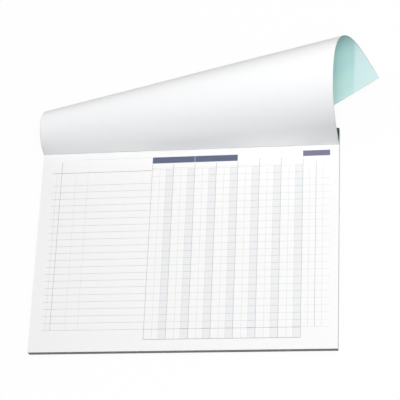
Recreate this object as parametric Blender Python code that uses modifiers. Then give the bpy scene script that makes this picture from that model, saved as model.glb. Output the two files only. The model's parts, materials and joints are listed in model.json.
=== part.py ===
"""Carbonless cash book: a landscape pad of two-part sets, bound along its top edge,
with the card cover turned back over the binding and curled into a cone.

Metres, +Z up. The origin is the middle of the pad's underside. +Y points at the binding and
+X to the right of someone writing on the page.
"""

import math

import bmesh
import bpy
from mathutils import Quaternion, Vector

COLLECTION_NAME = "carbonless_cash_book"

# Pad
SHEET_WIDTH = 0.297
PAGE_DEPTH = 0.207
BINDING_MARGIN = 0.017
SET_COUNT = 50
LOOSE_SETS = 2
SHEET_THICKNESS = 0.000054
SHEET_AIR = 0.000011
BOARD_THICKNESS = 0.0007
PERFORATION_GAP = 0.0003

# Binding
GLUE_THICKNESS = 0.0004
TAPE_THICKNESS = 0.0002
TAPE_FRONT_BAND = 0.0135
TAPE_BACK_BAND = 0.016
SEAT_GAP = 0.00005

# Staples
STAPLE_WIRE = 0.0008
STAPLE_CROWN = 0.012
STAPLE_SPACING = 0.150
STAPLE_FROM_SPINE = 0.008
STAPLE_BITE = 0.00025
STAPLE_CLEARANCE = 0.0001
STAPLE_ROUNDNESS = 2

# Cover card, flat sizes
CARD_THICKNESS = 0.0003
COVER_LENGTH = 0.207
FOLD_SETBACK = 0.0005
FOLD_GAP = 0.0003

# Cover curl: a cone whose tip lies in the card's own plane, to the left of it and below the fold.
# Each stretch has its length and its bend radius where the right-hand edge of the card passes.
CURL_TIP_LEFT = 0.302
CURL_TIP_DROP = 0.032
CURL_LEAN = math.radians(8.8)
CURL_STRETCHES = (
    (0.040, 0.062),
    (0.034, 0.0495),
    (0.0655, 0.0267),
)
RUN_OUT_RADIUS = 0.105

# Cover tail: past a slanting line across the card, the curl tightens into a scroll.
SCROLL_FROM_LEFT_EDGE = 0.080
SCROLL_FROM_FREE_EDGE = 0.247
SCROLL_RADIUS = 0.0098
SCROLL_TIGHTENING = 0.06

COVER_CELLS_ACROSS = 14
COVER_CELLS_ALONG = 96

# Colour, roughness and metallic value of each finish
FINISHES = {
    "white_paper": ((0.90, 0.90, 0.90), 0.75, 0.0),
    "mint_paper": ((0.62, 0.83, 0.75), 0.75, 0.0),
    "set_edges": ((0.78, 0.86, 0.82), 0.80, 0.0),
    "grey_board": ((0.45, 0.43, 0.40), 0.90, 0.0),
    "cover_card": ((0.42, 0.66, 0.58), 0.55, 0.0),
    "binding_cloth": ((0.025, 0.065, 0.052), 0.80, 0.0),
    "padding_glue": ((0.80, 0.78, 0.68), 0.50, 0.0),
    "staple_wire": ((0.70, 0.70, 0.72), 0.30, 1.0),
}

# Levels and lines that several pieces share
SPINE_Y = (PAGE_DEPTH + BINDING_MARGIN) / 2
WRITER_Y = SPINE_Y - BINDING_MARGIN - PAGE_DEPTH
PERFORATION_Y = SPINE_Y - BINDING_MARGIN
LEFT_X = -SHEET_WIDTH / 2
RIGHT_X = SHEET_WIDTH / 2
SHEET_PITCH = SHEET_THICKNESS + SHEET_AIR
STACK_TOP_Z = BOARD_THICKNESS + 2 * SET_COUNT * SHEET_PITCH
STRIP_LOW_Z = STACK_TOP_Z + SEAT_GAP
STRIP_TOP_Z = STRIP_LOW_Z + CARD_THICKNESS
FOLD_Y = PERFORATION_Y + FOLD_SETBACK
FOLD_Z = (STRIP_LOW_Z + STRIP_TOP_Z) / 2
REBATE_DEPTH = TAPE_THICKNESS + SEAT_GAP
GLUE_Y = SPINE_Y + SEAT_GAP
TAPE_INNER_Y = GLUE_Y + GLUE_THICKNESS + SEAT_GAP
STAPLE_CROWN_Z = STRIP_TOP_Z - STAPLE_WIRE / 2
STAPLE_FOOT_Z = BOARD_THICKNESS - STAPLE_BITE
STAPLE_Y = SPINE_Y - STAPLE_FROM_SPINE


def clear_scene():
    for obj in list(bpy.data.objects):
        bpy.data.objects.remove(obj, do_unlink=True)


def new_collection(name):
    collection = bpy.data.collections.new(name)
    bpy.context.scene.collection.children.link(collection)
    return collection


def make_materials():
    materials = {}
    for name, (colour, roughness, metallic) in FINISHES.items():
        material = bpy.data.materials.new(name)
        material.use_nodes = True
        shader = material.node_tree.nodes["Principled BSDF"]
        shader.inputs["Base Color"].default_value = (*colour, 1.0)
        shader.inputs["Roughness"].default_value = roughness
        shader.inputs["Metallic"].default_value = metallic
        materials[name] = material
    return materials


def add_object(name, data, collection, material, origin=(0, 0, 0)):
    obj = bpy.data.objects.new(name, data)
    obj.location = origin
    if material:
        data.materials.append(material)
    collection.objects.link(obj)
    return obj


def box_mesh(name, low, high, origin=(0, 0, 0)):
    """A box between two corners of the pad, kept relative to the object's origin."""
    low, high, origin = Vector(low), Vector(high), Vector(origin)
    shape = bmesh.new()
    bmesh.ops.create_cube(shape, size=1.0)
    bmesh.ops.scale(shape, vec=high - low, verts=shape.verts)
    bmesh.ops.translate(shape, vec=(low + high) / 2 - origin, verts=shape.verts)
    mesh = bpy.data.meshes.new(name)
    shape.to_mesh(mesh)
    shape.free()
    return mesh


def add_sheet(name, low_z, high_z, collection, material):
    """One leaf or set in front of the perforation, with its origin on the line it turns about."""
    origin = (0, PERFORATION_Y, (low_z + high_z) / 2)
    low = (LEFT_X, WRITER_Y, low_z)
    high = (RIGHT_X, PERFORATION_Y - PERFORATION_GAP / 2, high_z)
    return add_object(name, box_mesh(name, low, high, origin), collection, material, origin)


def add_stack(collection, materials):
    """Fifty sets of a white original over a mint copy. The top ones are single sheets."""
    top = STACK_TOP_Z
    for number in range(1, SET_COUNT + 1):
        middle = top - SHEET_PITCH
        bottom = middle - SHEET_PITCH
        if number <= LOOSE_SETS:
            add_sheet(f"original_{number:02d}", middle + SHEET_AIR, top, collection, materials["white_paper"])
            add_sheet(f"copy_{number:02d}", bottom + SHEET_AIR, middle, collection, materials["mint_paper"])
        else:
            add_sheet(f"set_{number:02d}", bottom + SHEET_AIR, top, collection, materials["set_edges"])
        top = bottom


def staple_curve(name, x, radius, foot_z):
    """A round wire bent to a staple's crown and its two legs."""
    curve = bpy.data.curves.new(name, "CURVE")
    curve.dimensions = "3D"
    curve.bevel_depth = radius
    curve.bevel_resolution = STAPLE_ROUNDNESS
    curve.use_fill_caps = True
    spline = curve.splines.new("POLY")
    half = STAPLE_CROWN / 2
    path = ((-half, foot_z), (-half, STAPLE_CROWN_Z), (half, STAPLE_CROWN_Z), (half, foot_z))
    spline.points.add(len(path) - 1)
    for point, (across, height) in zip(spline.points, path):
        point.co = (x + across, STAPLE_Y, height, 1.0)
    return curve


def staple_cutter(name, x, collection):
    """The channel a staple lies in, as a mesh so that it can cut."""
    curve = staple_curve(name, x, STAPLE_WIRE / 2 + STAPLE_CLEARANCE, STAPLE_FOOT_Z - STAPLE_CLEARANCE)
    guide = add_object(f"{name}_path", curve, collection, None)
    graph = bpy.context.evaluated_depsgraph_get()
    mesh = bpy.data.meshes.new_from_object(guide.evaluated_get(graph))
    bpy.data.objects.remove(guide, do_unlink=True)
    shape = bmesh.new()
    shape.from_mesh(mesh)
    bmesh.ops.remove_doubles(shape, verts=shape.verts, dist=1e-6)
    bmesh.ops.recalc_face_normals(shape, faces=shape.faces)
    shape.to_mesh(mesh)
    shape.free()
    cutter = add_object(name, mesh, collection, None)
    cutter.hide_render = True
    cutter.display_type = "WIRE"
    return cutter


def add_staples(collection, cutters, materials):
    """Two staples through the bound margin, and the channels that they need."""
    channels = []
    for side, x in (("left", -STAPLE_SPACING / 2), ("right", STAPLE_SPACING / 2)):
        curve = staple_curve(f"staple_{side}", x, STAPLE_WIRE / 2, STAPLE_FOOT_Z)
        add_object(f"staple_{side}", curve, collection, materials["staple_wire"])
        channels.append(staple_cutter(f"staple_channel_{side}", x, cutters))
    return channels


def cut_with(obj, cutters):
    for cutter in cutters:
        modifier = obj.modifiers.new(cutter.name, "BOOLEAN")
        modifier.operation = "DIFFERENCE"
        modifier.solver = "MANIFOLD"
        modifier.object = cutter


def add_board(collection, cutters, materials, channels):
    """The grey backing board, with a shallow rebate below for the tape's rear band."""
    low = (LEFT_X, WRITER_Y, 0)
    high = (RIGHT_X, SPINE_Y, BOARD_THICKNESS)
    board = add_object("backing_board", box_mesh("backing_board", low, high), collection, materials["grey_board"])
    spare = REBATE_DEPTH
    rebate_low = (LEFT_X - spare, SPINE_Y - TAPE_BACK_BAND - SEAT_GAP, -spare)
    rebate_high = (RIGHT_X + spare, SPINE_Y + spare, REBATE_DEPTH)
    rebate = add_object("tape_rebate", box_mesh("tape_rebate", rebate_low, rebate_high), cutters, None)
    rebate.hide_render = True
    rebate.display_type = "WIRE"
    cut_with(board, [rebate, *channels])


def add_stub(collection, materials, channels):
    """The bound margins of all the sheets, pressed into one block behind the perforation."""
    low = (LEFT_X, PERFORATION_Y + PERFORATION_GAP / 2, BOARD_THICKNESS + SHEET_AIR)
    high = (RIGHT_X, SPINE_Y, STACK_TOP_Z)
    stub = add_object("stub_block", box_mesh("stub_block", low, high), collection, materials["white_paper"])
    cut_with(stub, channels)


def add_cover_strip(collection, materials, channels):
    """The part of the cover card that is stapled down behind its fold."""
    low = (LEFT_X, FOLD_Y + CARD_THICKNESS / 2 + FOLD_GAP, STRIP_LOW_Z)
    high = (RIGHT_X, SPINE_Y, STRIP_TOP_Z)
    strip = add_object("cover_strip", box_mesh("cover_strip", low, high), collection, materials["cover_card"])
    cut_with(strip, channels)


def add_spine_glue(collection, materials):
    """The film of padding glue over the spine edge of the sheets."""
    low = (LEFT_X, GLUE_Y, REBATE_DEPTH + SEAT_GAP)
    high = (RIGHT_X, GLUE_Y + GLUE_THICKNESS, STRIP_TOP_Z)
    add_object("spine_glue", box_mesh("spine_glue", low, high), collection, materials["padding_glue"])


def add_tape(collection, materials):
    """Binding cloth folded round the spine: a band on the cover strip, the spine, a band under the board."""
    top = STRIP_TOP_Z + SEAT_GAP
    low = TAPE_THICKNESS
    profile = (
        (SPINE_Y - TAPE_FRONT_BAND, top),
        (TAPE_INNER_Y, top),
        (TAPE_INNER_Y, low),
        (SPINE_Y - TAPE_BACK_BAND, low),
    )
    shape = bmesh.new()
    points = [shape.verts.new((LEFT_X, y, z)) for y, z in profile]
    edges = [shape.edges.new(pair) for pair in zip(points, points[1:])]
    swept = bmesh.ops.extrude_edge_only(shape, edges=edges)["geom"]
    moved = [part for part in swept if isinstance(part, bmesh.types.BMVert)]
    bmesh.ops.translate(shape, vec=(SHEET_WIDTH, 0, 0), verts=moved)
    bmesh.ops.recalc_face_normals(shape, faces=shape.faces)
    front_band = max(shape.faces, key=lambda face: face.calc_center_median().z)
    if front_band.normal.z < 0:
        bmesh.ops.reverse_faces(shape, faces=shape.faces)
    mesh = bpy.data.meshes.new("binding_tape")
    shape.to_mesh(mesh)
    shape.free()
    tape = add_object("binding_tape", mesh, collection, materials["binding_cloth"])
    wall = tape.modifiers.new("cloth_thickness", "SOLIDIFY")
    wall.thickness = TAPE_THICKNESS
    wall.offset = 1.0
    wall.use_even_offset = True


class Curl:
    """Bends the flat cover card. Across is measured from its left edge, along from the fold."""

    def __init__(self):
        self.rise = Vector((0, math.sin(CURL_LEAN), math.cos(CURL_LEAN)))
        self.tip = Vector((LEFT_X - CURL_TIP_LEFT, 0, 0)) - CURL_TIP_DROP * self.rise
        reach = CURL_TIP_LEFT + SHEET_WIDTH
        self.stretches = [(math.atan2(CURL_TIP_DROP, CURL_TIP_LEFT), 0.0)]
        self.stretches += [(length / reach, reach / radius) for length, radius in CURL_STRETCHES]
        self.run_out = reach / RUN_OUT_RADIUS
        self.scroll_near = self.polar(0, SCROLL_FROM_LEFT_EDGE)
        self.scroll_far = self.polar(SCROLL_FROM_FREE_EDGE, COVER_LENGTH)
        self.scroll = self.scroll_near[0] / SCROLL_RADIUS

    def polar(self, across, along):
        """Distance and angle of a flat point, seen from the cone's tip."""
        x = across + CURL_TIP_LEFT
        y = along + CURL_TIP_DROP
        return math.hypot(x, y), math.atan2(y, x)

    def arcs(self, distance):
        """Angle and curvature of each stretch at this distance from the tip, tail included."""
        share = (distance - self.scroll_near[0]) / (self.scroll_far[0] - self.scroll_near[0])
        start = self.scroll_near[1] + share * (self.scroll_far[1] - self.scroll_near[1])
        passed = 0.0
        for span, curvature in self.stretches:
            yield span, curvature
            passed += span
        yield max(start - passed, 0.0), self.run_out
        curvature = self.scroll
        while True:
            yield math.pi / 2 / curvature, curvature
            curvature *= 1 + SCROLL_TIGHTENING

    def place(self, across, along):
        """Where a flat point lies on the bent card, measured from the fold line."""
        distance, left = self.polar(across, along)
        outward = Vector((1, 0, 0))
        heading = self.rise.copy()
        for span, curvature in self.arcs(distance):
            step = min(span, left)
            axis = outward.cross(heading) - curvature * outward
            turn = Quaternion(axis, axis.length * step)
            outward = turn @ outward
            heading = turn @ heading
            left -= step
            if left <= 0:
                break
        return self.tip + distance * outward


def add_front_cover(collection, materials):
    """The cover card in front of its fold, turned back and curled. Its origin is on the fold line."""
    curl = Curl()
    shape = bmesh.new()
    bmesh.ops.create_grid(shape, x_segments=COVER_CELLS_ACROSS, y_segments=COVER_CELLS_ALONG, size=0.5)
    for vert in shape.verts:
        vert.co = curl.place((vert.co.x + 0.5) * SHEET_WIDTH, (vert.co.y + 0.5) * COVER_LENGTH)
    mesh = bpy.data.meshes.new("front_cover")
    shape.to_mesh(mesh)
    shape.free()
    mesh.shade_smooth()
    cover = add_object("front_cover", mesh, collection, materials["cover_card"], (0, FOLD_Y, FOLD_Z))
    wall = cover.modifiers.new("card_thickness", "SOLIDIFY")
    wall.thickness = CARD_THICKNESS
    wall.offset = 0.0


def main():
    clear_scene()
    collection = new_collection(COLLECTION_NAME)
    cutters = new_collection(f"{COLLECTION_NAME}_cutters")
    materials = make_materials()
    channels = add_staples(collection, cutters, materials)
    add_board(collection, cutters, materials, channels)
    add_stub(collection, materials, channels)
    add_cover_strip(collection, materials, channels)
    add_spine_glue(collection, materials)
    add_tape(collection, materials)
    add_stack(collection, materials)
    add_front_cover(collection, materials)


main()
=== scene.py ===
"""Looks of the carbonless cash book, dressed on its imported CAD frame.

Metres, +Z up. The origin is the middle of the pad's underside, +Y points at the binding.
"""

import json
import math

import bmesh
import bpy
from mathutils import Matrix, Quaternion, Vector


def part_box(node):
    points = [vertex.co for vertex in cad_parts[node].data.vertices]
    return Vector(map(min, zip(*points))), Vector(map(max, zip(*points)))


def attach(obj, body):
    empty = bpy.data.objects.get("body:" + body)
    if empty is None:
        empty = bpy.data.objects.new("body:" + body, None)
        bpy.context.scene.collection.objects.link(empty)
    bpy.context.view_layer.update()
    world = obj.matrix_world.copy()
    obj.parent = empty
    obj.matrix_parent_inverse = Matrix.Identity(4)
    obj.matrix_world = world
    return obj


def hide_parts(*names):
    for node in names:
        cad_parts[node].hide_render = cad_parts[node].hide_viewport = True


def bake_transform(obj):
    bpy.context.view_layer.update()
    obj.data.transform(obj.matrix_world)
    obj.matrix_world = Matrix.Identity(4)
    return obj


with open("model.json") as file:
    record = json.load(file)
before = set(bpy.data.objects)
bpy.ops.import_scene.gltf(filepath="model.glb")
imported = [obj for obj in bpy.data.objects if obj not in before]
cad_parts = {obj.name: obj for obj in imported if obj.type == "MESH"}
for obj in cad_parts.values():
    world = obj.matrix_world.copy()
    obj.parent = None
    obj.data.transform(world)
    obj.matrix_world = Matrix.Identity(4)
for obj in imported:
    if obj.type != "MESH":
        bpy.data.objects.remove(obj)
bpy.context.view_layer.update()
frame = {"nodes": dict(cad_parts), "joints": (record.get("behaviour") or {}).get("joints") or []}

MM = 0.001
WHITE = (1.0, 1.0, 1.0, 1.0)

# Places taken from the frame
PAGE_LOW, PAGE_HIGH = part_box("original_01")
STRIP_LOW, STRIP_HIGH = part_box("cover_strip")
TAPE_LOW, TAPE_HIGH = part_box("binding_tape")
STACK_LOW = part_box("set_50")[0]
STACK_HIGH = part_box("set_03")[1]
STAPLES = [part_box("staple_left"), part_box("staple_right")]
FOLD = next(Vector(joint["pos_m"]) for joint in frame["joints"] if joint["name"] == "cover_swing")
SHEET_WIDTH = PAGE_HIGH.x - PAGE_LOW.x
CARD_THICKNESS = STRIP_HIGH.z - STRIP_LOW.z

# Sheet stack, trimmed to within a hair, with painted shade on the edges that face front and back
LOOSE_LEAVES = ("original_01", "copy_01", "original_02", "copy_02")
STACKED_SETS = [name for name in frame["nodes"] if name.startswith("set_")]
STACKED_SHEETS = 2 * len(STACKED_SETS)
SHEET_PITCH = (STACK_HIGH.z - STACK_LOW.z) / STACKED_SHEETS
SHEET_THICKNESS = PAGE_HIGH.z - PAGE_LOW.z
TRIM_SCATTER = 0.006 * MM
STACK_SEED = 4
# Painted shade, multiplied over the trimmed edges that face front and back
FRONT_BACK_EDGE_SHADE = (0.62, 0.58, 0.57, 1)

# A face counts as upright where it points less than this far along its piece's own Z
UPRIGHT_BELOW = 0.5

# Cover curl, a cone with its tip in the card's own plane
# Each stretch has a length and a bend radius, both measured at the card's right edge
COVER_LENGTH = 207 * MM
CURL_TIP_LEFT = 302 * MM
CURL_TIP_DROP = 32 * MM
CURL_LEAN = math.radians(8.8)
CURL_RISE = Vector((0.0, math.sin(CURL_LEAN), math.cos(CURL_LEAN)))
CURL_STRETCHES = ((40 * MM, 62 * MM), (34 * MM, 49.5 * MM), (65.5 * MM, 26.7 * MM))
RUN_OUT_RADIUS = 105 * MM

# Scroll at the tail, from a line between this far up the left edge and this far along the free edge
SCROLL_FROM_LEFT_EDGE = 80 * MM
SCROLL_FROM_FREE_EDGE = 247 * MM
SCROLL_RADIUS = 9.8 * MM
SCROLL_TIGHTENING = 0.06
SCROLL_QUARTER_TURNS = 14

# Cover mesh and its soft ripples, which are counted per metre
COVER_CELLS_ACROSS = 72
COVER_CELLS_ALONG = 300
WELD_DISTANCE = 0.002 * MM
CARD_RIPPLE = 0.45 * MM
RIPPLES_ACROSS = 9.0
RIPPLES_ALONG = 42.0
RIPPLE_FROM = 1 * MM
RIPPLE_FULL = 25 * MM
RIPPLE_SEED = 2.7

# Cover outside: soft slanting printed stripes, a paler fade to the free edge and a paler field across one
# corner of the card
CARD_MINT = (193, 233, 230)
TINT_FADE = 30 * MM
STRIPE_TURN = math.radians(-95)
STRIPE_PITCH = 21 * MM
STRIPE_DRIFT = 1.6
STRIPE_SOFTNESS = (-0.6, 0.9)
CORNER_FIELD_TURN = math.radians(32.9)
CORNER_FIELD_FROM = 337.5 * MM
CORNER_FIELD_SOFTNESS = 1.5 * MM
GREYED_EDGE_WIDTH = 0.8 * MM

# Page print, in millimetres right of the page's left edge and down from its perforated edge
COLUMN_LEFT = 112.2
COLUMN_PITCH = 21.37
COLUMN_COUNT = 7
COLUMN_RIGHT = COLUMN_LEFT + COLUMN_COUNT * COLUMN_PITCH
COLUMN_TOP = 14.6
BARRED_LINES = 5
FREE_COLUMN_TOP = 11.6
BAND_WIDTH = 7.2
DIGIT_LINE_INSET = 7.85
BAR_COUNT = 2
BAR_COLUMNS = 2
BAR_GAP = 0.3
BAR_TOP = 7.0
BAR_HEIGHT = 6.6
SUBHEAD_RULE = 18.8
HEAD_RULE = 20.9
ENTRY_RULE_LEFT = 41.0
ENTRY_RULE_TOP = 7.0
ENTRY_RULE_WIDTH = 70.0
ROW_TOP = 34.6
ROW_PITCH = 7.172
ROW_COUNT = 22
ROW_INSET = 1.0
HEAD_ROWS = 2
TOTALS_TOP = ROW_TOP + (ROW_COUNT - 1) * ROW_PITCH
TOTALS_FOOT = 195.3
TEXT_LEFT = 10.6
MARGIN_LINE = 15.3
DATE_LINE = 20.0
DATE_LINE_TOP = 8.6
NUMBER_LINES = (34.8, 47.2)
ACCOUNT_RIGHT = 288.6
ACCOUNT_DIGIT_LINES = 2
ACCOUNT_DIGIT_INSET = 6.6
ACCOUNT_DIGIT_PITCH = 13.0
ACCOUNT_LINE_INSET = 12.9
ACCOUNT_LINE_RISE = 4.0
ACCOUNT_BAR_TOP = 5.1
ACCOUNT_BAR_WIDTH = 26.4
ACCOUNT_BAR_HEIGHT = 5.9
HAIRLINE = 0.22
FINE_LINE = 0.3
STRONG_LINE = 0.42
STROKE_LAP = 0.1
INKS = {
    "bar": (94, 102, 128),
    "account_bar": (118, 119, 143),
    "line": (150, 151, 158),
    "head": (163, 148, 154),
    "rule": (166, 163, 166),
    "pale": (204, 204, 206),
    "faint": (216, 216, 217),
    "tick": (182, 184, 187),
    "band": (236, 237, 239),
}

# Height of each kind of stroke above its leaf, all different so that crossing strokes share no face
INK_SUNK = 0.010 * MM
INK_LEVELS = {
    "band": 0.004 * MM,
    "light": 0.005 * MM,
    "rule": 0.006 * MM,
    "line": 0.007 * MM,
    "bar": 0.008 * MM,
}

# Perforation nibs on each loose leaf, ending just short of the line it turns on
NIB_PITCH = 2.4 * MM
NIB_SUNK = 0.09 * MM
NIB_THINNING = 0.9
NIB_SIZE = Vector((1.9 * MM, 0.23 * MM, SHEET_THICKNESS * NIB_THINNING))

# Binding cloth
CLOTH_THICKNESS = 0.2 * MM
CLOTH_FRONT_BAND = 13.5 * MM
CLOTH_CORNER = 0.45 * MM
CLOTH_CORNER_STEPS = 6
CLOTH_FOLD_RUB = 0.5
CLOTH_STEP_ACROSS = 1.5 * MM
CLOTH_STEP_ALONG = 0.45 * MM
STAPLE_EMBOSS = 0.13 * MM
STAPLE_EMBOSS_SPREAD = 0.75 * MM
WEAVE_PITCH = 0.55 * MM

# Fold
CREASE_REACH = 0.6 * MM
CREASE_CELLS = 10
CREASE_THINNING = 0.96

# Floor, with the share of plain white that it shows beside its lit face, and the light all round
FLOOR_HALF = 6.0
FLOOR_NEAR = 0.3
FLOOR_FAR = 1.1
FLOOR_PLAIN_SHARE = 0.95
FLOOR_LIT = (0.95, 0.95, 0.95, 1)
FLOOR_BOUNCE = (0.2, 0.2, 0.2, 1)
AMBIENT_STRENGTH = 0.3

# Camera, found from the page's corners in a square picture
CAMERA_TARGET = Vector((0.0130, 0.0407, 0.0072))
CAMERA_DISTANCE = 1.535
CAMERA_AZIMUTH = math.radians(24.62)
CAMERA_ELEVATION = math.radians(65.27)
CAMERA_ROLL = math.radians(-24.31)
CAMERA_LENS = 141.67
CAMERA_SENSOR = 36.0


# Colour helpers

def srgb(red, green, blue):
    """A colour given as 0 to 255 on screen, as a linear shader colour."""
    linear = []
    for value in (red, green, blue):
        value /= 255
        linear.append(value / 12.92 if value <= 0.04045 else ((value + 0.055) / 1.055) ** 2.4)
    return (*linear, 1.0)


def toned(colour, factor):
    """A darker or lighter tone of a colour."""
    return (*(channel * factor for channel in colour[:3]), 1.0)


def grey(level):
    return (level, level, level, 1.0)


# Node helpers

def put(tree, kind, inputs=None, **settings):
    """Adds a node, sets its options, and feeds its inputs from sockets or plain values."""
    node = tree.nodes.new(kind)
    for option, value in settings.items():
        setattr(node, option, value)
    for socket, value in (inputs or {}).items():
        if isinstance(value, bpy.types.NodeSocket):
            tree.links.new(value, node.inputs[socket])
        else:
            node.inputs[socket].default_value = value
    return node


def maths(tree, operation, *values):
    return put(tree, "ShaderNodeMath", dict(enumerate(values)), operation=operation).outputs[0]


def vectors(tree, operation, *values):
    node = put(tree, "ShaderNodeVectorMath", dict(enumerate(values)), operation=operation)
    return node.outputs["Vector"]


def scaled(tree, vector, factor):
    node = put(tree, "ShaderNodeVectorMath", {"Vector": vector, "Scale": factor}, operation="SCALE")
    return node.outputs["Vector"]


def stretched(tree, vector, x, y, z):
    return vectors(tree, "MULTIPLY", vector, (x, y, z))


def length_of(tree, vector):
    return put(tree, "ShaderNodeVectorMath", {"Vector": vector}, operation="LENGTH").outputs["Value"]


def parts_of(tree, vector):
    return put(tree, "ShaderNodeSeparateXYZ", {"Vector": vector}).outputs


def combined(tree, x, y, z):
    return put(tree, "ShaderNodeCombineXYZ", {"X": x, "Y": y, "Z": z}).outputs["Vector"]


def spread(tree, value, low, high, to_low=0.0, to_high=1.0, smooth=False):
    """Maps a value from one range onto another and holds it at the ends."""
    inputs = {"Value": value, "From Min": low, "From Max": high, "To Min": to_low, "To Max": to_high}
    course = "SMOOTHSTEP" if smooth else "LINEAR"
    return put(tree, "ShaderNodeMapRange", inputs, interpolation_type=course).outputs["Result"]


def noise(tree, place, scale, detail, roughness=0.5):
    inputs = {"Vector": place, "Scale": scale, "Detail": detail, "Roughness": roughness}
    return put(tree, "ShaderNodeTexNoise", inputs).outputs["Fac"]


def ramp(tree, factor, *stops):
    """A colour ramp with the given (position, colour) stops."""
    node = put(tree, "ShaderNodeValToRGB", {"Fac": factor})
    elements = node.color_ramp.elements
    while len(elements) < len(stops):
        elements.new(0.5)
    for element, (position, colour) in zip(elements, stops):
        element.position = position
        element.color = colour
    return node.outputs["Color"]


def mixed(tree, factor, first, second, blend="MIX"):
    """Two colours mixed; the node's sockets 0, 6 and 7 take the factor and the colours."""
    inputs = {0: factor, 6: first, 7: second}
    return put(tree, "ShaderNodeMix", inputs, data_type="RGBA", blend_type=blend).outputs[2]


def finished(tree, geometry, material, selection=True):
    """The geometry with a material on all its faces, or on the selected ones."""
    inputs = {"Geometry": geometry, "Selection": selection, "Material": material}
    return put(tree, "GeometryNodeSetMaterial", inputs).outputs["Geometry"]


def joined(tree, *pieces):
    """Several geometries as one."""
    node = put(tree, "GeometryNodeJoinGeometry")
    for piece in pieces:
        tree.links.new(piece, node.inputs[0])
    return node.outputs[0]


def node_tree(name, inputs, outputs):
    """An empty Geometry Nodes tree with named sockets, and its input and output nodes."""
    tree = bpy.data.node_groups.new(name, "GeometryNodeTree")
    for label, kind in inputs.items():
        tree.interface.new_socket(label, in_out="INPUT", socket_type=f"NodeSocket{kind}")
    for label, kind in outputs.items():
        tree.interface.new_socket(label, in_out="OUTPUT", socket_type=f"NodeSocket{kind}")
    given = tree.nodes.new("NodeGroupInput").outputs
    result = tree.nodes.new("NodeGroupOutput").inputs
    return tree, given, result


# Object helpers

def add_object(name, data):
    obj = bpy.data.objects.new(name, data)
    bpy.context.scene.collection.objects.link(obj)
    return obj


def apply_modifiers(obj):
    """Makes the modified mesh the object's own."""
    graph = bpy.context.evaluated_depsgraph_get()
    mesh = bpy.data.meshes.new_from_object(obj.evaluated_get(graph))
    obj.modifiers.clear()
    obj.data = mesh


def grown(name, tree, rounds):
    """An object whose plain mesh comes from running the tree once for each set of named inputs."""
    obj = add_object(name, bpy.data.meshes.new(name))
    sockets = {}
    for item in tree.interface.items_tree:
        if item.in_out == "INPUT":
            sockets[item.name] = item.identifier
    for values in rounds:
        modifier = obj.modifiers.new(tree.name, "NODES")
        modifier.node_group = tree
        for label, value in values.items():
            modifier[sockets[label]] = value
    apply_modifiers(obj)
    obj.data.name = name
    return obj


def skinned(name, shape, rows, materials):
    """A smooth object from a shape, with the quads between its rows of points filled in."""
    for low, high in zip(rows, rows[1:]):
        for column in range(len(low) - 1):
            shape.faces.new((low[column], low[column + 1], high[column + 1], high[column]))
    mesh = bpy.data.meshes.new(name)
    shape.to_mesh(mesh)
    shape.free()
    for material in materials:
        mesh.materials.append(material)
    mesh.shade_smooth()
    return add_object(name, mesh)


# Material helpers

def new_material(name, roughness, specular):
    material = bpy.data.materials.new(name)
    material.use_nodes = True
    tree = material.node_tree
    shader = tree.nodes["Principled BSDF"]
    shader.inputs["Roughness"].default_value = roughness
    shader.inputs["Specular IOR Level"].default_value = specular
    return material, tree, shader


def object_place(tree):
    return put(tree, "ShaderNodeTexCoord").outputs["Object"]


def attribute_place(tree, name):
    return put(tree, "ShaderNodeAttribute", attribute_name=name).outputs["Vector"]


def card_flat(tree):
    """A point's place on the cover card before it was bent."""
    return attribute_place(tree, "card_flat")


def paint(tree, shader, colour):
    tree.links.new(colour, shader.inputs["Base Color"])


def raise_bump(tree, shader, height, distance):
    bump = put(tree, "ShaderNodeBump", {"Height": height, "Distance": distance, "Strength": 1.0})
    tree.links.new(bump.outputs["Normal"], shader.inputs["Normal"])


def varied_roughness(tree, shader, factor, low, high):
    tree.links.new(spread(tree, factor, 0.0, 1.0, low, high), shader.inputs["Roughness"])


def facing(tree):
    """How far a face points along the piece's own X, Y and Z, whichever way round."""
    normal = put(tree, "ShaderNodeNewGeometry").outputs["True Normal"]
    own = put(tree, "ShaderNodeVectorTransform", {"Vector": normal},
              vector_type="NORMAL", convert_from="WORLD", convert_to="OBJECT")
    return parts_of(tree, vectors(tree, "ABSOLUTE", own.outputs["Vector"]))


def on_edge(tree):
    """One on faces that stand upright, such as trimmed edges, and zero on flat ones."""
    return maths(tree, "LESS_THAN", facing(tree)["Z"], UPRIGHT_BELOW)


def slanted(tree, sides, turn, pitch=1.0):
    """Distance along a slanting direction of the card, counted in pitches."""
    return maths(tree, "ADD",
                 maths(tree, "MULTIPLY", sides["X"], math.cos(turn) / pitch),
                 maths(tree, "MULTIPLY", sides["Y"], math.sin(turn) / pitch))


# Materials

def cut_edge(tree, place, colour):
    """A trimmed edge with painted shade between the sheets, streaked where they lie closer and looser, and
    darker again on the faces towards the front and back.
    """
    # Painted shade between the sheets: streaks from 0.68 to 1.08 of the edge tone
    streaks = noise(tree, stretched(tree, place, 0.03, 0.03, 1.0), scale=1500, detail=3, roughness=0.6)
    unshaded_edge = ramp(tree, streaks, (0.32, toned(colour, 0.68)), (0.66, toned(colour, 1.08)))
    return mixed(tree, facing(tree)["Y"], unshaded_edge, FRONT_BACK_EDGE_SHADE, "MULTIPLY")


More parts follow.
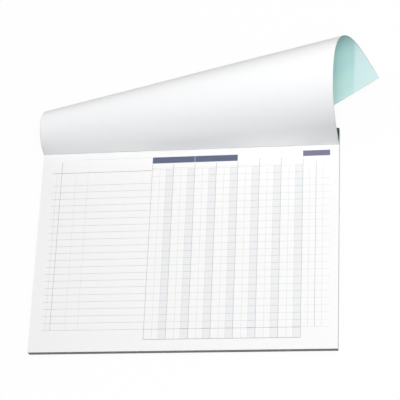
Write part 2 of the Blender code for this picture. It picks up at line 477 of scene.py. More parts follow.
def paper(name, colour, edge):
    """Uncoated paper: cloudy formation, short fibres and a matt, slightly toothy face."""
    material, tree, shader = new_material(name, roughness=0.8, specular=0.1)
    place = object_place(tree)
    clouds = noise(tree, place, scale=180, detail=4, roughness=0.6)
    fibres = noise(tree, stretched(tree, place, 1.0, 2.4, 1.0), scale=2600, detail=3, roughness=0.65)
    tone = ramp(tree, clouds, (0.3, toned(colour, 0.985)), (0.7, colour))
    flecks = ramp(tree, fibres, (0.25, (0.965, 0.965, 0.96, 1)), (0.5, WHITE))
    face = mixed(tree, 1.0, tone, flecks, "MULTIPLY")
    paint(tree, shader, mixed(tree, on_edge(tree), face, cut_edge(tree, place, edge)))
    varied_roughness(tree, shader, clouds, low=0.74, high=0.88)
    raise_bump(tree, shader, fibres, distance=0.006 * MM)
    return material


def layered_paper(name, face, original, copy):
    """The bound margins seen from the side: originals and copies pressed together in turn."""
    material, tree, shader = new_material(name, roughness=0.85, specular=0.15)
    place = object_place(tree)
    height = maths(tree, "SUBTRACT", parts_of(tree, place)["Z"], STACK_LOW.z)
    share = maths(tree, "FRACT", maths(tree, "DIVIDE", height, 2 * SHEET_PITCH))
    seam = maths(tree, "PINGPONG", maths(tree, "DIVIDE", height, SHEET_PITCH), 0.5)
    sheet = ramp(tree, share, (0.48, copy), (0.52, original))
    shade = ramp(tree, seam, (0.0, grey(0.85)), (0.16, WHITE))
    layers = mixed(tree, 1.0, sheet, shade, "MULTIPLY")
    paint(tree, shader, mixed(tree, on_edge(tree), face, layers))
    rough = noise(tree, stretched(tree, place, 1.0, 1.0, 6.0), scale=2200, detail=3)
    raise_bump(tree, shader, maths(tree, "ADD", seam, rough), distance=0.01 * MM)
    return material


def ink(name, colour):
    """Litho ink on uncoated paper: slightly uneven, and duller where the paper soaks it up."""
    material, tree, shader = new_material(name, roughness=0.65, specular=0.3)
    soak = noise(tree, object_place(tree), scale=1400, detail=3, roughness=0.6)
    paint(tree, shader, ramp(tree, soak, (0.3, toned(colour, 0.93)), (0.72, toned(colour, 1.06))))
    varied_roughness(tree, shader, soak, low=0.55, high=0.78)
    return material


def card_face(name, place, colour, roughness, specular):
    """A smooth calendered face of the cover card, with faint clouds and a fine grain."""
    material, tree, shader = new_material(name, roughness, specular)
    flat = place(tree)
    clouds = noise(tree, flat, scale=60, detail=4, roughness=0.6)
    grain = noise(tree, stretched(tree, flat, 1.0, 2.0, 1.0), scale=2200, detail=2, roughness=0.6)
    tone = ramp(tree, clouds, (0.3, toned(colour, 0.985)), (0.7, colour))
    varied_roughness(tree, shader, clouds, low=roughness - 0.05, high=roughness + 0.08)
    raise_bump(tree, shader, grain, distance=0.004 * MM)
    return material, tree, shader, flat, tone


def greyed_near_edges(tree, flat, tone):
    """Greys the tone towards the card's trimmed edges."""
    sides = parts_of(tree, flat)
    from_right = maths(tree, "SUBTRACT", SHEET_WIDTH, sides["X"])
    from_end = maths(tree, "SUBTRACT", COVER_LENGTH, sides["Y"])
    gap = maths(tree, "MINIMUM", maths(tree, "MINIMUM", sides["X"], from_right), from_end)
    # Grey tone that grows towards the trimmed edges
    near_edge_share = spread(tree, gap, 0.0, GREYED_EDGE_WIDTH, 1.0, 0.0)
    return mixed(tree, near_edge_share, tone, (0.72, 0.73, 0.72, 1), "MULTIPLY")


def white_card(name):
    """The plain white inside of the cover."""
    material, tree, shader, flat, tone = card_face(
        name, card_flat, srgb(251, 252, 253), roughness=0.62, specular=0.3)
    paint(tree, shader, greyed_near_edges(tree, flat, tone))
    return material


def bound_card(name):
    """The strip of the cover card that is bound in, mint on its faces and pale at its cut edges."""
    material, tree, shader, _, tone = card_face(
        name, object_place, srgb(*CARD_MINT), roughness=0.5, specular=0.4)
    paint(tree, shader, mixed(tree, on_edge(tree), tone, srgb(214, 220, 216)))
    return material


def printed_card(name):
    """The mint outside: slanting tone stripes, fading to one edge, and a paler field across one corner."""
    material, tree, shader, flat, tone = card_face(
        name, card_flat, srgb(*CARD_MINT), roughness=0.5, specular=0.4)
    sides = parts_of(tree, flat)
    fade = spread(tree, sides["Y"], COVER_LENGTH - TINT_FADE, COVER_LENGTH)
    tint = mixed(tree, fade, tone, srgb(210, 244, 240))
    drift = maths(tree, "MULTIPLY", noise(tree, flat, scale=12, detail=1.0), STRIPE_DRIFT)
    waves = maths(tree, "ADD", slanted(tree, sides, STRIPE_TURN, STRIPE_PITCH), drift)
    wave = maths(tree, "SINE", maths(tree, "MULTIPLY", waves, math.tau))
    stripes = mixed(tree, spread(tree, wave, *STRIPE_SOFTNESS, smooth=True),
                    (1.0, 1.0, 0.985, 1), (0.955, 0.975, 0.985, 1))
    striped = mixed(tree, 1.0, tint, stripes, "MULTIPLY")
    past = maths(tree, "SUBTRACT", slanted(tree, sides, CORNER_FIELD_TURN), CORNER_FIELD_FROM)
    inside = spread(tree, past, -CORNER_FIELD_SOFTNESS, CORNER_FIELD_SOFTNESS)
    printed = mixed(tree, inside, striped, srgb(223, 248, 248))
    paint(tree, shader, greyed_near_edges(tree, flat, printed))
    return material


def card_edge(name):
    """The cut edge of the card, with its pale fibrous core."""
    material, tree, shader = new_material(name, roughness=0.85, specular=0.2)
    core = noise(tree, object_place(tree), scale=1800, detail=3, roughness=0.6)
    paint(tree, shader, ramp(tree, core, (0.3, srgb(136, 146, 140)), (0.7, srgb(172, 180, 174))))
    raise_bump(tree, shader, core, distance=0.02 * MM)
    return material


def chipboard(name):
    """Grey recycled board with darker and paler flecks and a coarse face."""
    material, tree, shader = new_material(name, roughness=0.9, specular=0.15)
    place = object_place(tree)
    clouds = noise(tree, place, scale=120, detail=4, roughness=0.6)
    flecks = noise(tree, stretched(tree, place, 1.0, 1.7, 3.0), scale=900, detail=3, roughness=0.7)
    base = ramp(tree, clouds, (0.3, srgb(158, 153, 144)), (0.7, srgb(176, 171, 162)))
    dots = ramp(tree, flecks, (0.30, (0.55, 0.54, 0.53, 1)), (0.40, WHITE), (0.66, WHITE),
                (0.74, (1.18, 1.17, 1.15, 1)))
    paint(tree, shader, mixed(tree, 1.0, base, dots, "MULTIPLY"))
    raise_bump(tree, shader, flecks, distance=0.05 * MM)
    return material


def binding_cloth(name):
    """Dark green book cloth in a plain weave, worn paler along the folds, with painted shade between the
    threads and a painted highlight on their crowns.
    """
    material, tree, shader = new_material(name, roughness=0.8, specular=0.25)
    flat = attribute_place(tree, "cloth_flat")
    sides = parts_of(tree, flat)
    across = maths(tree, "DIVIDE", sides["X"], WEAVE_PITCH)
    along = maths(tree, "DIVIDE", sides["Y"], WEAVE_PITCH)
    warp = maths(tree, "PINGPONG", across, 0.5)
    weft = maths(tree, "PINGPONG", along, 0.5)
    crossing = maths(tree, "ADD", maths(tree, "FLOOR", across), maths(tree, "FLOOR", along))
    over = maths(tree, "FLOORED_MODULO", crossing, 2.0)
    under = maths(tree, "SUBTRACT", 1.0, over)
    thread = maths(tree, "ADD", maths(tree, "MULTIPLY", warp, over), maths(tree, "MULTIPLY", weft, under))
    slubs = noise(tree, stretched(tree, flat, 1.0, 6.0, 1.0), scale=260, detail=3, roughness=0.6)
    dyed = ramp(tree, slubs, (0.3, srgb(24, 58, 49)), (0.7, srgb(42, 82, 71)))
    # Painted shade at the sides of each thread and a painted highlight on its crown
    relief = ramp(tree, thread, (0.0, grey(0.45)), (0.42, grey(1.1)))
    woven = mixed(tree, 1.0, dyed, relief, "MULTIPLY")
    paint(tree, shader, mixed(tree, sides["Z"], woven, srgb(92, 122, 112)))
    shader.inputs["Sheen Weight"].default_value = 0.15
    shader.inputs["Sheen Roughness"].default_value = 0.5
    height = maths(tree, "ADD", thread, maths(tree, "MULTIPLY", slubs, 0.4))
    raise_bump(tree, shader, height, distance=0.08 * MM)
    return material


def padding_glue(name):
    """A dried white glue film, a little glossy and brushed along the spine."""
    material, tree, shader = new_material(name, roughness=0.4, specular=0.5)
    place = stretched(tree, object_place(tree), 0.15, 1.0, 1.0)
    brushed = noise(tree, place, scale=1500, detail=3, roughness=0.6)
    paint(tree, shader, ramp(tree, brushed, (0.3, srgb(214, 205, 180)), (0.7, srgb(236, 230, 212))))
    varied_roughness(tree, shader, brushed, low=0.3, high=0.5)
    raise_bump(tree, shader, brushed, distance=0.03 * MM)
    return material


def staple_wire(name):
    """Drawn galvanised wire with fine lengthwise drawing lines."""
    material, tree, shader = new_material(name, roughness=0.3, specular=0.5)
    shader.inputs["Metallic"].default_value = 1.0
    lines = noise(tree, stretched(tree, object_place(tree), 1.0, 8.0, 8.0), scale=900, detail=2)
    paint(tree, shader, ramp(tree, lines, (0.3, srgb(176, 178, 182)), (0.7, srgb(214, 215, 218))))
    varied_roughness(tree, shader, lines, low=0.25, high=0.42)
    raise_bump(tree, shader, lines, distance=0.01 * MM)
    return material


# Geometry Nodes trees

def slab_row_tree():
    """Adds a row of equal thin slabs: printed rules, bars and bands, or the nibs of a perforation."""
    inputs = {"Geometry": "Geometry", "Count": "Int", "First": "Vector", "Step": "Vector", "Size": "Vector",
              "Finish": "Material"}
    tree, given, result = node_tree("slab_row", inputs, {"Geometry": "Geometry"})
    line = put(tree, "GeometryNodeMeshLine",
               {"Count": given["Count"], "Start Location": given["First"], "Offset": given["Step"]})
    slab = put(tree, "GeometryNodeMeshCube", {"Size": given["Size"]})
    row = put(tree, "GeometryNodeInstanceOnPoints",
              {"Points": line.outputs["Mesh"], "Instance": slab.outputs["Mesh"]})
    real = put(tree, "GeometryNodeRealizeInstances", {"Geometry": row.outputs["Instances"]})
    slabs = finished(tree, real.outputs[0], given["Finish"])
    tree.links.new(joined(tree, slabs, given["Geometry"]), result["Geometry"])
    return tree


def sheet_stack_tree():
    """A stack of sheets from the bottom up, copies and originals in turn, each a hair out of line."""
    inputs = {"Sheets": "Int", "First": "Vector", "Pitch": "Float", "Size": "Vector", "Scatter": "Float",
              "Seed": "Int", "Copy": "Material", "Original": "Material"}
    tree, given, result = node_tree("sheet_stack", inputs, {"Geometry": "Geometry"})
    step = combined(tree, 0.0, 0.0, given["Pitch"])
    line = put(tree, "GeometryNodeMeshLine",
               {"Count": given["Sheets"], "Start Location": given["First"], "Offset": step})
    reach = combined(tree, given["Scatter"], given["Scatter"], 0.0)
    drift = put(tree, "FunctionNodeRandomValue",
                {"Min": scaled(tree, reach, -1.0), "Max": reach, "Seed": given["Seed"]},
                data_type="FLOAT_VECTOR")
    moved = put(tree, "GeometryNodeSetPosition",
                {"Geometry": line.outputs["Mesh"], "Offset": drift.outputs["Value"]})
    sheet = put(tree, "GeometryNodeMeshCube", {"Size": given["Size"]})
    pile = put(tree, "GeometryNodeInstanceOnPoints",
               {"Points": moved.outputs["Geometry"], "Instance": sheet.outputs["Mesh"]})
    parity = maths(tree, "MODULO", put(tree, "GeometryNodeInputIndex").outputs["Index"], 2.0)
    marked = put(tree, "GeometryNodeStoreNamedAttribute",
                 {"Geometry": pile.outputs["Instances"], "Name": "is_original", "Value": parity},
                 data_type="FLOAT", domain="INSTANCE")
    real = put(tree, "GeometryNodeRealizeInstances", {"Geometry": marked.outputs["Geometry"]})
    mark = put(tree, "GeometryNodeInputNamedAttribute", {"Name": "is_original"}, data_type="FLOAT")
    is_original = put(tree, "FunctionNodeCompare", {0: mark.outputs["Attribute"], 1: 0.5},
                      operation="GREATER_THAN")
    copies = finished(tree, real.outputs[0], given["Copy"])
    sheets = finished(tree, copies, given["Original"], is_original.outputs["Result"])
    tree.links.new(sheets, result["Geometry"])
    return tree


def bend_tree():
    """Carries a ray on the cone over one stretch of constant curvature, or as much of it as is left."""
    state = {"Outward": "Vector", "Heading": "Vector", "Left": "Float"}
    tree, given, result = node_tree("bend_stretch", {**state, "Span": "Float", "Curvature": "Float"}, state)
    step = maths(tree, "MINIMUM", given["Span"], given["Left"])
    upright = vectors(tree, "CROSS_PRODUCT", given["Outward"], given["Heading"])
    axis = vectors(tree, "SUBTRACT", upright, scaled(tree, given["Outward"], given["Curvature"]))
    angle = maths(tree, "MULTIPLY", length_of(tree, axis), step)
    turn = put(tree, "FunctionNodeAxisAngleToRotation",
               {"Axis": vectors(tree, "NORMALIZE", axis), "Angle": angle})
    for side in ("Outward", "Heading"):
        turned = put(tree, "FunctionNodeRotateVector",
                     {"Vector": given[side], "Rotation": turn.outputs["Rotation"]})
        tree.links.new(turned.outputs["Vector"], result[side])
    tree.links.new(maths(tree, "SUBTRACT", given["Left"], step), result["Left"])
    return tree


def polar(across, along):
    """Distance and angle of a flat point of the card, seen from the cone's tip."""
    x = across + CURL_TIP_LEFT
    y = along + CURL_TIP_DROP
    return math.hypot(x, y), math.atan2(y, x)


def curl_spans(tree, distance):
    """Angle and curvature of each stretch: flat, curl, run-out up to a slanting line, then the scroll."""
    reach = CURL_TIP_LEFT + SHEET_WIDTH
    spans = [(math.atan2(CURL_TIP_DROP, CURL_TIP_LEFT), 0.0)]
    spans += [(length / reach, reach / radius) for length, radius in CURL_STRETCHES]
    passed = sum(span for span, _ in spans)
    near_distance, near_angle = polar(0, SCROLL_FROM_LEFT_EDGE)
    far_distance, far_angle = polar(SCROLL_FROM_FREE_EDGE, COVER_LENGTH)
    slope = (far_angle - near_angle) / (far_distance - near_distance)
    start = maths(tree, "MULTIPLY_ADD", distance, slope, near_angle - slope * near_distance - passed)
    spans.append((maths(tree, "MAXIMUM", start, 0.0), reach / RUN_OUT_RADIUS))
    curvature = near_distance / SCROLL_RADIUS
    for _ in range(SCROLL_QUARTER_TURNS):
        spans.append((math.pi / 2 / curvature, curvature))
        curvature *= 1 + SCROLL_TIGHTENING
    return spans


def curled_card_tree():
    """The cover card bent round its cone and rolled up at the tail, with two faces and a cut edge."""
    inputs = {"Width": "Float", "Length": "Float", "Thickness": "Float", "Cells Across": "Int",
              "Cells Along": "Int", "Tip Left": "Float", "Tip Drop": "Float", "Rise": "Vector",
              "Fold": "Vector", "Ripple": "Float", "Ripple Seed": "Float", "Inside": "Material",
              "Outside": "Material", "Edge": "Material"}
    tree, given, result = node_tree("curled_card", inputs, {"Geometry": "Geometry"})
    grid = put(tree, "GeometryNodeMeshGrid",
               {"Size X": 1.0, "Size Y": 1.0, "Vertices X": given["Cells Across"],
                "Vertices Y": given["Cells Along"]})
    cell = parts_of(tree, put(tree, "GeometryNodeInputPosition").outputs["Position"])
    across = maths(tree, "MULTIPLY", maths(tree, "ADD", cell["X"], 0.5), given["Width"])
    along = maths(tree, "MULTIPLY", maths(tree, "ADD", cell["Y"], 0.5), given["Length"])

    # Polar place on the flat card
    x = maths(tree, "ADD", across, given["Tip Left"])
    y = maths(tree, "ADD", along, given["Tip Drop"])
    square = maths(tree, "ADD", maths(tree, "MULTIPLY", x, x), maths(tree, "MULTIPLY", y, y))
    distance = maths(tree, "SQRT", square)
    angle = maths(tree, "ARCTAN2", y, x)

    # Carry every ray of the cone over the stretches
    bend = bend_tree()
    outward, heading, left = (1.0, 0.0, 0.0), given["Rise"], angle
    for span, curvature in curl_spans(tree, distance):
        stretch = put(tree, "GeometryNodeGroup",
                      {"Outward": outward, "Heading": heading, "Left": left, "Span": span,
                       "Curvature": curvature}, node_tree=bend)
        outward, heading, left = (stretch.outputs[side] for side in ("Outward", "Heading", "Left"))
    tip_x = maths(tree, "MULTIPLY_ADD", given["Width"], -0.5,
                  maths(tree, "MULTIPLY", given["Tip Left"], -1.0))
    tip_from_fold = vectors(tree, "SUBTRACT", combined(tree, tip_x, 0.0, 0.0),
                            scaled(tree, given["Rise"], given["Tip Drop"]))
    tip = vectors(tree, "ADD", given["Fold"], tip_from_fold)
    middle = vectors(tree, "ADD", tip, scaled(tree, outward, distance))
    inward = vectors(tree, "CROSS_PRODUCT", outward, heading)

    # Soft ripples that run across the card and die out at the fold
    wave_place = combined(tree, maths(tree, "MULTIPLY", across, RIPPLES_ACROSS),
                          maths(tree, "MULTIPLY", along, RIPPLES_ALONG), given["Ripple Seed"])
    waves = maths(tree, "SUBTRACT", noise(tree, wave_place, scale=1.0, detail=1.0), 0.5)
    fade = spread(tree, along, RIPPLE_FROM, RIPPLE_FULL, smooth=True)
    swell = maths(tree, "MULTIPLY", maths(tree, "MULTIPLY", waves, given["Ripple"]), fade)
    low = maths(tree, "MULTIPLY_ADD", given["Thickness"], -0.5, swell)
    position = vectors(tree, "ADD", middle, scaled(tree, inward, low))

    # Keep the flat place and the facing before the points move
    sheet = grid.outputs["Mesh"]
    for name, value in (("card_flat", combined(tree, across, along, 0.0)), ("card_facing", inward),
                        ("card_place", position)):
        stored = put(tree, "GeometryNodeStoreNamedAttribute",
                     {"Geometry": sheet, "Name": name, "Value": value},
                     data_type="FLOAT_VECTOR", domain="POINT")
        sheet = stored.outputs["Geometry"]
    kept = {}
    for name in ("card_place", "card_facing"):
        read = put(tree, "GeometryNodeInputNamedAttribute", {"Name": name}, data_type="FLOAT_VECTOR")
        kept[name] = read.outputs["Attribute"]
    moved = put(tree, "GeometryNodeSetPosition", {"Geometry": sheet, "Position": kept["card_place"]})
    bent = moved.outputs["Geometry"]

    # The outside face, then the inside face a card's thickness away, joined by the cut edge
    thick = put(tree, "GeometryNodeExtrudeMesh",
                {"Mesh": bent, "Offset": kept["card_facing"], "Offset Scale": given["Thickness"],
                 "Individual": False}).outputs
    flat_edge = put(tree, "GeometryNodeSetShadeSmooth",
                    {0: thick["Mesh"], "Selection": thick["Side"], "Shade Smooth": False})
    inside = finished(tree, flat_edge.outputs[0], given["Inside"], thick["Top"])
    edged = finished(tree, inside, given["Edge"], thick["Side"])
    turned = put(tree, "GeometryNodeFlipFaces", {"Mesh": bent})
    outside = finished(tree, turned.outputs["Mesh"], given["Outside"])
    whole = put(tree, "GeometryNodeMergeByDistance",
                {"Geometry": joined(tree, outside, edged), "Distance": WELD_DISTANCE})
    bare = whole.outputs["Geometry"]
    for name in kept:
        bare = put(tree, "GeometryNodeRemoveAttribute", {"Geometry": bare, "Name": name}).outputs["Geometry"]
    tree.links.new(bare, result["Geometry"])
    return tree


# Pieces

def make_cover(finishes):
    """The curled cover card in front of its fold."""
    cover = grown("cover_card", curled_card_tree(), [{
        "Width": SHEET_WIDTH,
        "Length": COVER_LENGTH,
        "Thickness": CARD_THICKNESS,
        "Cells Across": COVER_CELLS_ACROSS + 1,
        "Cells Along": COVER_CELLS_ALONG + 1,
        "Tip Left": CURL_TIP_LEFT,
        "Tip Drop": CURL_TIP_DROP,
        "Rise": tuple(CURL_RISE),
        "Fold": tuple(FOLD),
        "Ripple": CARD_RIPPLE,
        "Ripple Seed": RIPPLE_SEED,
        "Inside": finishes["white_card"],
        "Outside": finishes["printed_card"],
        "Edge": finishes["card_edge"],
    }])
    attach(cover, "cover")
    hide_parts("front_cover")


def make_crease(finishes):
    """The rounded fold that joins the stapled strip of the card to the cover."""
    shape = bmesh.new()
    flat = shape.verts.layers.float_vector.new("card_flat")
    rows = []
    start = FOLD + Vector((0, CREASE_REACH, 0))
    end = FOLD + CREASE_REACH * CURL_RISE
    for cell in range(CREASE_CELLS + 1):
        share = cell / CREASE_CELLS
        middle = (1 - share) ** 2 * start + 2 * share * (1 - share) * FOLD + share ** 2 * end
        row = []
        for x in (PAGE_LOW.x, PAGE_HIGH.x):
            vert = shape.verts.new((x, middle.y, middle.z))
            vert[flat] = (x - PAGE_LOW.x, share * CREASE_REACH, 0)
            row.append(vert)
        rows.append(row)
    sides = [finishes[side] for side in ("white_card", "printed_card", "card_edge")]
    fold = skinned("cover_fold", shape, rows, sides)
    wall = fold.modifiers.new("card_thickness", "SOLIDIFY")
    wall.thickness = CARD_THICKNESS * CREASE_THINNING
    wall.offset = 0.0
    wall.material_offset = 1
    wall.material_offset_rim = 2
    apply_modifiers(fold)
    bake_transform(fold)


def strokes(inks, finish, level, count, left, top, width, height, right=0.0, down=0.0):
    """Inputs of the slab row tree for equal printed strokes, without the level of the leaf they lie on."""
    return {
        "Count": count,
        "First": (PAGE_LOW.x + (left + width / 2) * MM, PAGE_HIGH.y - (top + height / 2) * MM, -INK_SUNK / 2),
        "Step": (right * MM, -down * MM, 0.0),
        "Size": (width * MM, height * MM, INK_SUNK + 2 * INK_LEVELS[level]),
        "Finish": inks[finish],
    }


def ledger_rounds(inks):
    """Every family of strokes printed on a leaf."""
    rows_from = ROW_TOP - HEAD_ROWS * ROW_PITCH
    body = TOTALS_TOP - rows_from
    full = TOTALS_FOOT - rows_from
    under_head = TOTALS_TOP - HEAD_RULE
    lines_foot = TOTALS_FOOT + STROKE_LAP
    column = COLUMN_PITCH
    columns_width = COLUMN_RIGHT - COLUMN_LEFT
    band = column - BAND_WIDTH
    text_width = COLUMN_LEFT - TEXT_LEFT
    # Each family gives ink, level, count, left, top, width and height, then the step right and down
    families = (
        # Tinted bands at the right of the amount columns
        ("band", "band", COLUMN_COUNT, COLUMN_LEFT + band, rows_from, BAND_WIDTH, full, column),
        ("pale", "light", COLUMN_COUNT, COLUMN_LEFT + band, rows_from, HAIRLINE, full, column),
        # Row rules of the text block, the amounts and the accounts
        ("rule", "rule", ROW_COUNT, TEXT_LEFT + ROW_INSET, ROW_TOP, text_width - ROW_INSET, HAIRLINE,
         0.0, ROW_PITCH),
        ("pale", "rule", ROW_COUNT + HEAD_ROWS, COLUMN_LEFT + STROKE_LAP, rows_from, columns_width, HAIRLINE,
         0.0, ROW_PITCH),
        ("faint", "rule", ROW_COUNT, COLUMN_RIGHT + 2 * STROKE_LAP, ROW_TOP, ACCOUNT_RIGHT - COLUMN_RIGHT,
         HAIRLINE, 0.0, ROW_PITCH),
        # Digit lines in the amount columns and the account columns
        ("pale", "light", COLUMN_COUNT, COLUMN_LEFT + DIGIT_LINE_INSET, rows_from, HAIRLINE, full, column),
        ("pale", "light", ACCOUNT_DIGIT_LINES, COLUMN_RIGHT + ACCOUNT_DIGIT_INSET, rows_from, HAIRLINE, body,
         ACCOUNT_DIGIT_PITCH),
        # Column lines
        ("line", "line", BARRED_LINES, COLUMN_LEFT, COLUMN_TOP, FINE_LINE, lines_foot - COLUMN_TOP, column),
        ("line", "line", COLUMN_COUNT + 1 - BARRED_LINES, COLUMN_LEFT + BARRED_LINES * column,
         FREE_COLUMN_TOP, FINE_LINE, lines_foot - FREE_COLUMN_TOP, column),
        ("line", "line", 1, COLUMN_RIGHT + ACCOUNT_LINE_INSET, rows_from - ACCOUNT_LINE_RISE, FINE_LINE,
         body + ACCOUNT_LINE_RISE),
        # Date and number columns at the left
        ("line", "line", 1, DATE_LINE, DATE_LINE_TOP, FINE_LINE, TOTALS_TOP - DATE_LINE_TOP),
        ("pale", "light", 1, MARGIN_LINE, HEAD_RULE, HAIRLINE, under_head),
        ("faint", "light", 1, NUMBER_LINES[0], HEAD_RULE, HAIRLINE, under_head),
        ("faint", "light", 1, NUMBER_LINES[1], HEAD_RULE, HAIRLINE, under_head),
        # Heading rules and the totals
        ("pale", "rule", 1, ENTRY_RULE_LEFT, ENTRY_RULE_TOP, ENTRY_RULE_WIDTH, HAIRLINE),
        ("head", "line", 1, TEXT_LEFT, HEAD_RULE, text_width, STRONG_LINE),
        ("pale", "light", 1, COLUMN_LEFT, SUBHEAD_RULE, columns_width, HAIRLINE),
        ("line", "line", 1, COLUMN_LEFT, TOTALS_TOP, columns_width, FINE_LINE),
        ("line", "line", 1, COLUMN_LEFT, TOTALS_FOOT, columns_width + FINE_LINE, STRONG_LINE),
        # Solid heading bars
        ("bar", "bar", BAR_COUNT, COLUMN_LEFT, BAR_TOP, BAR_COLUMNS * column - BAR_GAP, BAR_HEIGHT,
         BAR_COLUMNS * column),
        ("account_bar", "bar", 1, COLUMN_RIGHT, ACCOUNT_BAR_TOP, ACCOUNT_BAR_WIDTH, ACCOUNT_BAR_HEIGHT),
    )
    rounds = [strokes(inks, *family) for family in families]
    # Row ticks that stand out in each band
    for index in range(COLUMN_COUNT):
        left = COLUMN_LEFT + index * column + band
        rounds.append(strokes(inks, "tick", "line", ROW_COUNT + HEAD_ROWS, left, rows_from,
                              BAND_WIDTH - FINE_LINE, FINE_LINE, 0.0, ROW_PITCH))
    return rounds


def make_leaf_details(finishes):
    """The print and the perforation nibs of each loose leaf, which turn with that leaf."""
    tree = slab_row_tree()
    nib_count = int((SHEET_WIDTH - NIB_SIZE.x) / NIB_PITCH)
    first_nib = -(nib_count - 1) * NIB_PITCH / 2
    for leaf in LOOSE_LEAVES:
        low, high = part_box(leaf)
        stock = "white" if leaf.startswith("original") else "mint"
        lifted = []
        for values in ledger_rounds(finishes[f"inks_on_{stock}"]):
            first = Vector(values["First"]) + Vector((0, 0, high.z))
            lifted.append({**values, "First": tuple(first)})
        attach(grown(f"{leaf}_print", tree, lifted), leaf)
        nibs = grown(f"{leaf}_perforation", tree, [{
            "Count": nib_count,
            "First": (first_nib, high.y + NIB_SIZE.y / 2 - NIB_SUNK, (low.z + high.z) / 2),
            "Step": (NIB_PITCH, 0.0, 0.0),
            "Size": tuple(NIB_SIZE),
            "Finish": finishes[f"{stock}_paper"],
        }])
        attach(nibs, leaf)


def make_stack(finishes):
    """The sheets under the loose leaves, one by one."""
    middle = (STACK_LOW + STACK_HIGH) / 2
    stack = grown("sheet_stack", sheet_stack_tree(), [{
        "Sheets": STACKED_SHEETS,
        "First": (middle.x, middle.y, STACK_LOW.z + SHEET_THICKNESS / 2),
        "Pitch": SHEET_PITCH,
        "Size": (STACK_HIGH.x - STACK_LOW.x, STACK_HIGH.y - STACK_LOW.y, SHEET_THICKNESS),
        "Scatter": TRIM_SCATTER,
        "Seed": STACK_SEED,
        "Copy": finishes["mint_paper"],
        "Original": finishes["white_paper"],
    }])
    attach(stack, "pad")
    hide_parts(*STACKED_SETS)


def cloth_profile():
    """Points of the cloth's outer face round the spine, front band first, as (y, z)."""
    points = []
    front = TAPE_HIGH.y - CLOTH_FRONT_BAND
    band = TAPE_HIGH.y - CLOTH_CORNER - front
    steps = round(band / CLOTH_STEP_ALONG)
    points += [(front + band * step / steps, TAPE_HIGH.z) for step in range(steps)]
    for centre_z, turn_from in ((TAPE_HIGH.z - CLOTH_CORNER, math.pi / 2), (CLOTH_CORNER, 0.0)):
        for step in range(CLOTH_CORNER_STEPS + 1):
            angle = turn_from - step * math.pi / 2 / CLOTH_CORNER_STEPS
            points.append((TAPE_HIGH.y - CLOTH_CORNER + CLOTH_CORNER * math.cos(angle),
                           centre_z + CLOTH_CORNER * math.sin(angle)))
    points.append((TAPE_LOW.y, 0.0))
    return points


def staple_swell(x, y):
    """How far a staple's crown lifts the cloth at a point."""
    swell = 0.0
    for low, high in STAPLES:
        off = max(low.x - x, x - high.x, 0.0)
        gap = math.hypot(off, y - (low.y + high.y) / 2)
        swell += STAPLE_EMBOSS * math.exp(-(gap / STAPLE_EMBOSS_SPREAD) ** 2)
    return swell


def make_cloth(finishes):
    """Binding cloth folded round the spine, with soft corners and the staples showing through."""
    profile = cloth_profile()
    columns = round(SHEET_WIDTH / CLOTH_STEP_ACROSS)
    shape = bmesh.new()
    flat = shape.verts.layers.float_vector.new("cloth_flat")
    rows = []
    walked = 0.0
    for index, (y, z) in enumerate(profile):
        if index:
            walked += math.hypot(y - profile[index - 1][0], z - profile[index - 1][1])
        on_top = z == TAPE_HIGH.z
        on_fold = 0 < TAPE_HIGH.y - y < CLOTH_CORNER and z > 0
        row = []
        for column in range(columns + 1):
            x = TAPE_LOW.x + SHEET_WIDTH * column / columns
            vert = shape.verts.new((x, y, z + (staple_swell(x, y) if on_top else 0.0)))
            vert[flat] = (x, walked, CLOTH_FOLD_RUB if on_fold else 0.0)
            row.append(vert)
        rows.append(row)
    cloth = skinned("binding_cloth", shape, rows, [finishes["binding_cloth"]])
    wall = cloth.modifiers.new("cloth_thickness", "SOLIDIFY")
    wall.thickness = CLOTH_THICKNESS
    wall.offset = -1.0
    apply_modifiers(cloth)
    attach(cloth, "pad")
    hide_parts("binding_tape")


def make_finishes():
    """Every material of the book, by the name of what it covers."""
    white = srgb(249, 248, 248)
    mint = srgb(222, 236, 229)
    # Edge tones of the paper: the face colours darkened by painted shade between the sheets
    white_edge_shaded = srgb(230, 229, 226)
    mint_edge_shaded = srgb(205, 213, 208)
    inks_on_white = {name: ink(f"ink_{name}", srgb(*colour)) for name, colour in INKS.items()}
    inks_on_mint = {}
    for name, colour in INKS.items():
        sunk = [tint * stock for tint, stock in zip(srgb(*colour), mint)]
        inks_on_mint[name] = ink(f"ink_{name}_on_mint", sunk)
    return {
        "white_paper": paper("white_paper", white, white_edge_shaded),
        "mint_paper": paper("mint_paper", mint, mint_edge_shaded),
        "layered_paper": layered_paper("layered_paper", white, white, mint),
        "inks_on_white": inks_on_white,
        "inks_on_mint": inks_on_mint,
        "white_card": white_card("white_card"),
        "printed_card": printed_card("printed_card"),
        "card_edge": card_edge("card_edge"),
        "bound_card": bound_card("bound_card"),
        "chipboard": chipboard("chipboard"),
        "binding_cloth": binding_cloth("binding_cloth_weave"),
        "padding_glue": padding_glue("padding_glue"),
        "staple_wire": staple_wire("staple_wire"),
    }


def dress_frame(finishes):
    """Finishes of the CAD nodes that stay in view."""
    worn = {
        "original_01": "white_paper",
        "original_02": "white_paper",
        "copy_01": "mint_paper",
        "copy_02": "mint_paper",
        "stub_block": "layered_paper",
        "cover_strip": "bound_card",
        "backing_board": "chipboard",
        "spine_glue": "padding_glue",
        "staple_left": "staple_wire",
        "staple_right": "staple_wire",
    }
    for node, finish in worn.items():
        mesh = frame["nodes"][node].data
        mesh.materials.clear()
        mesh.materials.append(finishes[finish])


# Stage

def seen_directly(tree):
    """One for camera, glossy and transmission rays, else zero."""
    light_path = put(tree, "ShaderNodeLightPath").outputs
    either = maths(tree, "MAXIMUM", light_path["Is Camera Ray"], light_path["Is Glossy Ray"])
    return maths(tree, "MAXIMUM", either, light_path["Is Transmission Ray"])


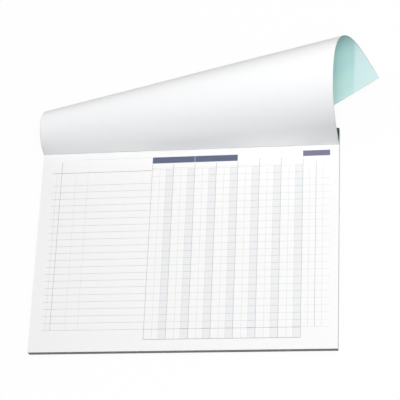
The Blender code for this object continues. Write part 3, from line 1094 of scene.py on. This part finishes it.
def mixed_shader(tree, factor, first, second):
    inputs = {0: factor, 1: first.outputs[0], 2: second.outputs[0]}
    return put(tree, "ShaderNodeMixShader", inputs)


def make_floor():
    """A pale floor that keeps a faint shadow of the pad and runs out to plain white."""
    mesh = bpy.data.meshes.new("floor")
    corners = [(x * FLOOR_HALF, y * FLOOR_HALF, 0.0) for x, y in ((-1, -1), (1, -1), (1, 1), (-1, 1))]
    mesh.from_pydata(corners, [], [(0, 1, 2, 3)])
    floor = add_object("floor", mesh)
    material = bpy.data.materials.new("pale_floor")
    material.use_nodes = True
    tree = material.node_tree
    tree.nodes.clear()
    away = length_of(tree, object_place(tree))
    plain = spread(tree, away, FLOOR_NEAR, FLOOR_FAR, FLOOR_PLAIN_SHARE, 1.0)
    lit = put(tree, "ShaderNodeBsdfDiffuse", {"Color": FLOOR_LIT})
    white = put(tree, "ShaderNodeEmission", {"Color": WHITE, "Strength": 1.0})
    shown = mixed_shader(tree, plain, lit, white)
    bounce = put(tree, "ShaderNodeBsdfDiffuse", {"Color": FLOOR_BOUNCE})
    surface = mixed_shader(tree, seen_directly(tree), bounce, shown)
    put(tree, "ShaderNodeOutputMaterial", {"Surface": surface.outputs[0]})
    mesh.materials.append(material)


def make_world():
    """A soft light from all round, plain white where it is seen directly."""
    world = bpy.data.worlds.new("studio")
    world.use_nodes = True
    bpy.context.scene.world = world
    tree = world.node_tree
    tree.nodes.clear()
    ambient = put(tree, "ShaderNodeBackground", {"Color": WHITE, "Strength": AMBIENT_STRENGTH})
    white = put(tree, "ShaderNodeBackground", {"Color": WHITE, "Strength": 1.0})
    surface = mixed_shader(tree, seen_directly(tree), ambient, white)
    put(tree, "ShaderNodeOutputWorld", {"Surface": surface.outputs[0]})


def add_softbox(name, place, size, power, colour):
    """A square area lamp that looks at the pad."""
    lamp = bpy.data.lights.new(name, "AREA")
    lamp.shape = "SQUARE"
    lamp.size = size
    lamp.energy = power
    lamp.color = colour
    obj = add_object(name, lamp)
    obj.location = place
    obj.rotation_euler = (CAMERA_TARGET - Vector(place)).to_track_quat("-Z", "Y").to_euler()


def make_lights():
    """Soft lamps above, at the left, and low on three sides."""
    add_softbox("key_above", (0.35, -0.4, 1.15), size=0.6, power=4.1, colour=(0.8, 0.905, 1.0))
    add_softbox("top_light", (0.27, 0.0, 0.82), size=0.4, power=2.68, colour=(1.0, 0.945, 0.885))
    add_softbox("fill_left", (-0.9, 0.3, 1.2), size=0.8, power=3.32, colour=(1.0, 0.96, 0.945))
    add_softbox("low_right", (1.0, 0.2, 0.3), size=0.4, power=2.3, colour=(1.0, 1.0, 1.0))
    add_softbox("low_left", (-1.0, 0.15, 0.24), size=0.35, power=1.4, colour=(1.0, 1.0, 1.0))
    add_softbox("low_back", (-0.15, 1.15, 0.35), size=0.45, power=0.4, colour=(1.0, 0.96, 0.93))


def make_camera():
    """A long lens that looks down at the front right corner, rolled to level the page."""
    data = bpy.data.cameras.new("camera")
    data.lens = CAMERA_LENS
    data.sensor_width = CAMERA_SENSOR
    camera = add_object("camera", data)
    level = math.cos(CAMERA_ELEVATION)
    back = Vector((math.sin(CAMERA_AZIMUTH) * level, -math.cos(CAMERA_AZIMUTH) * level,
                   math.sin(CAMERA_ELEVATION)))
    camera.location = CAMERA_TARGET + CAMERA_DISTANCE * back
    camera.rotation_mode = "QUATERNION"
    camera.rotation_quaternion = (-back).to_track_quat("-Z", "Y") @ Quaternion((0, 0, 1), CAMERA_ROLL)
    bpy.context.scene.camera = camera


def main():
    finishes = make_finishes()
    make_cover(finishes)
    make_crease(finishes)
    make_leaf_details(finishes)
    make_stack(finishes)
    make_cloth(finishes)
    dress_frame(finishes)
    make_floor()
    make_world()
    make_lights()
    make_camera()
    bpy.context.scene.view_settings.view_transform = "Standard"


main()
